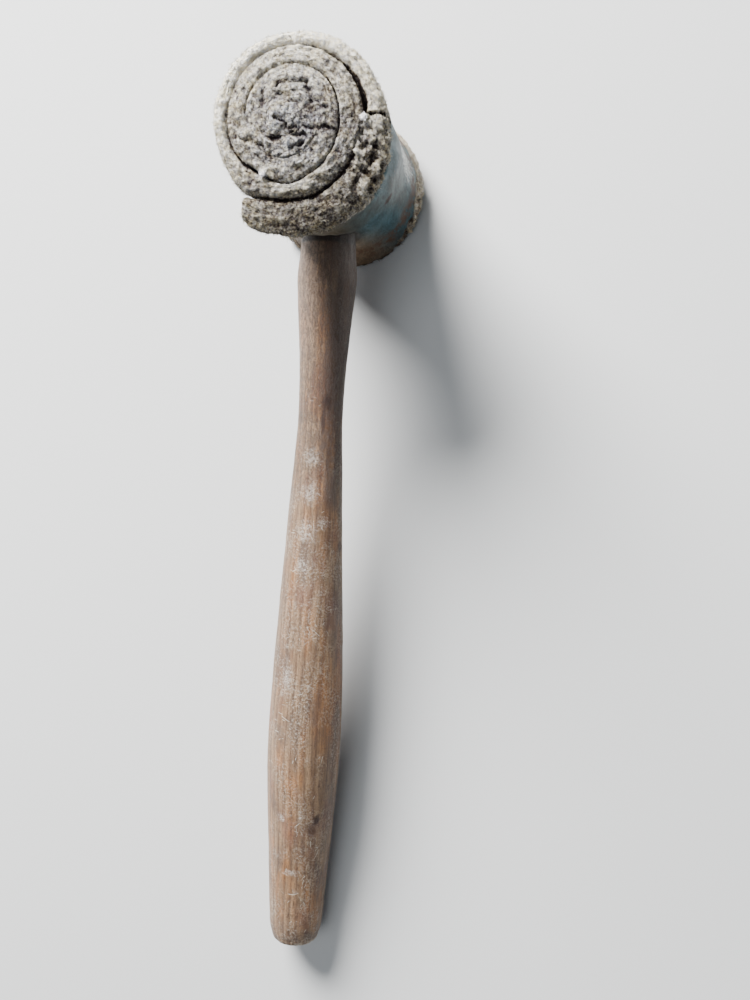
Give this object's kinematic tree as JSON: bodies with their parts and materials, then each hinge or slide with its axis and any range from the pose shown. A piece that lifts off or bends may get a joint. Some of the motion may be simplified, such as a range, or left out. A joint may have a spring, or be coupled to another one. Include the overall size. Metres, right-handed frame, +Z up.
{
  "type": "rawhide mallet",
  "caption": "Mallet with a head of rolled rawhide, spread at both striking faces, on a turned and wedged wooden handle.",
  "frame": {"origin": "on the surface the mallet lies on, under the centre of its bounding box", "axes": "+Z up, +Y along the handle from the butt to the head, +X across the head; the mallet lies on the rim of its back face and on its butt, front striking face up"},
  "size_m": [0.056, 0.3064, 0.0886],
  "materials": {
    "rawhide": "shellacked on the side, rough and fibrous on the worn faces",
    "handle_wood": "old oiled hardwood, worn and scratched",
    "wedge_wood": "sawn hardwood, end grain showing",
    "brad_steel": "dull, darkened with age"
  },
  "bodies": {
    "root": {"hide_roll": "rawhide", "handle": "handle_wood", "handle_wedge": "wedge_wood", "seam_brad_1": "brad_steel", "seam_brad_2": "brad_steel", "seam_brad_3": "brad_steel", "seam_brad_4": "brad_steel"}
  },
  "joints": []
}
